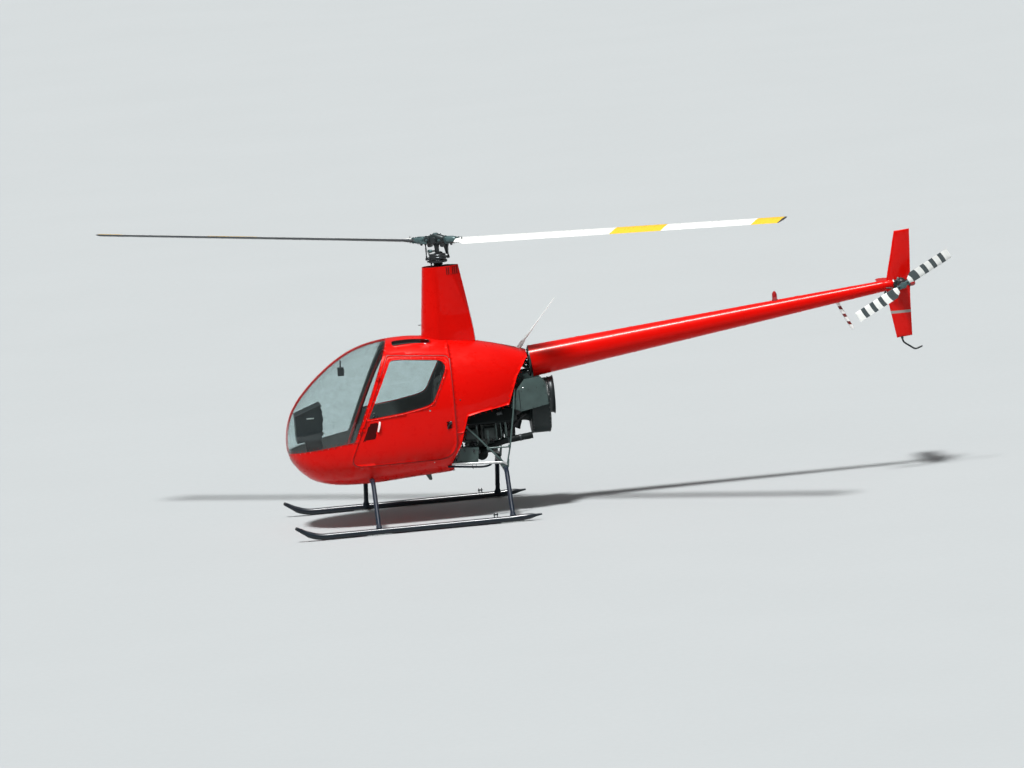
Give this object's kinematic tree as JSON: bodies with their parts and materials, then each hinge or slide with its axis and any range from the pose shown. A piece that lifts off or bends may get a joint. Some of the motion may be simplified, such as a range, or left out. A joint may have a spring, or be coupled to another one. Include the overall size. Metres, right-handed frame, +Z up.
{
  "type": "two-seat light piston helicopter",
  "caption": "Red two-seat helicopter on skids: bubble cabin with hinged doors, open piston engine, tall mast fairing, two-blade main rotor, tail boom and side tail rotor.",
  "frame": {"origin": "on the ground under the middle of the whole helicopter's box, 0.863 m aft of the rotor mast", "axes": "+X aft along the tail boom, +Y starboard, +Z up"},
  "size_m": [8.0615, 4.6156, 2.7866],
  "materials": {
    "paint_red": "gloss",
    "paint_red_moulded": "gloss",
    "glass_clear": "gloss",
    "glass_tinted": "gloss",
    "machinery_grey": "satin",
    "engine_metal": "matte",
    "shroud_grey": "satin",
    "dark_metal": "satin",
    "steel": "satin",
    "gear_paint": "gloss",
    "blade_white": "satin",
    "cabin_trim": "matte",
    "seat_fabric": "matte",
    "lens_red": "gloss"
  },
  "bodies": {
    "airframe": {"cabin_tub": "paint_red", "pillar_left": "paint_red", "pillar_right": "paint_red", "cabin_roof": "paint_red", "roof_window_left": "glass_tinted", "roof_window_right": "glass_tinted", "windshield_left": "glass_clear", "windshield_right": "glass_clear", "windshield_bow": "paint_red", "firewall": "machinery_grey", "engine_cowl": "paint_red", "mast_fairing": "paint_red_moulded", "pitot_tube": "steel", "seat_base": "cabin_trim", "seat_cushion_left": "seat_fabric", "back_cushion_left": "seat_fabric", "seat_cushion_right": "seat_fabric", "back_cushion_right": "seat_fabric", "instrument_console": "cabin_trim", "cyclic_bar": "dark_metal", "skid_left": "gear_paint", "skid_right": "gear_paint", "gear_front": "gear_paint", "gear_rear": "gear_paint", "frame_left": "gear_paint", "frame_right": "gear_paint", "upper_frame": "dark_metal", "engine_block": "engine_metal", "fan_housing": "shroud_grey", "side_shroud_left": "shroud_grey", "side_shroud_right": "shroud_grey", "muffler": "dark_metal", "equipment_panel": "shroud_grey", "tail_boom": "paint_red", "tail_fin": "paint_red_moulded", "stabilizer": "paint_red_moulded", "tail_gearbox": "machinery_grey", "guard_rod": "blade_white", "tail_skid": "dark_metal", "tail_light": "lens_red", "beacon": "lens_red", "whip_antenna": "blade_white", "belly_antenna": "machinery_grey", "swashplate_lower": "machinery_grey"},
    "door_left": {"door_left": "paint_red", "door_window_left": "glass_clear"},
    "door_right": {"door_right": "paint_red", "door_window_right": "glass_clear"},
    "cooling_fan": {"cooling_fan": "engine_metal"},
    "main_rotor": {"mast": "steel", "rotor_hub": "machinery_grey", "swashplate_upper": "steel", "blade_grip_a": "machinery_grey", "blade_grip_b": "machinery_grey", "main_blade_a": "blade_white", "main_blade_b": "blade_white"},
    "tail_rotor": {"tail_rotor_hub": "machinery_grey", "tail_blade_a": "blade_white", "tail_blade_b": "blade_white"}
  },
  "joints": [
    {"name": "main_rotor_spin", "type": "hinge", "parent": "airframe", "child": "main_rotor", "pos_m": [-0.863, 0, 2.65], "axis": [0, 0, 1], "continuous": true},
    {"name": "tail_rotor_spin", "type": "hinge", "parent": "airframe", "child": "tail_rotor", "pos_m": [3.546, -0.25, 1.824], "axis": [0, -1, 0], "continuous": true},
    {"name": "cooling_fan_spin", "type": "hinge", "parent": "airframe", "child": "cooling_fan", "pos_m": [0, 0, 1.068], "axis": [1, 0, 0], "continuous": true},
    {"name": "door_left_hinge", "type": "hinge", "parent": "airframe", "child": "door_left", "pos_m": [-1.757, -0.53754, 0.965], "axis": [-0.3994, -0.108, -0.9104], "range_deg": [0, 70]},
    {"name": "door_right_hinge", "type": "hinge", "parent": "airframe", "child": "door_right", "pos_m": [-1.757, 0.53754, 0.965], "axis": [0.3994, -0.108, 0.9104], "range_deg": [0, 70]}
  ]
}
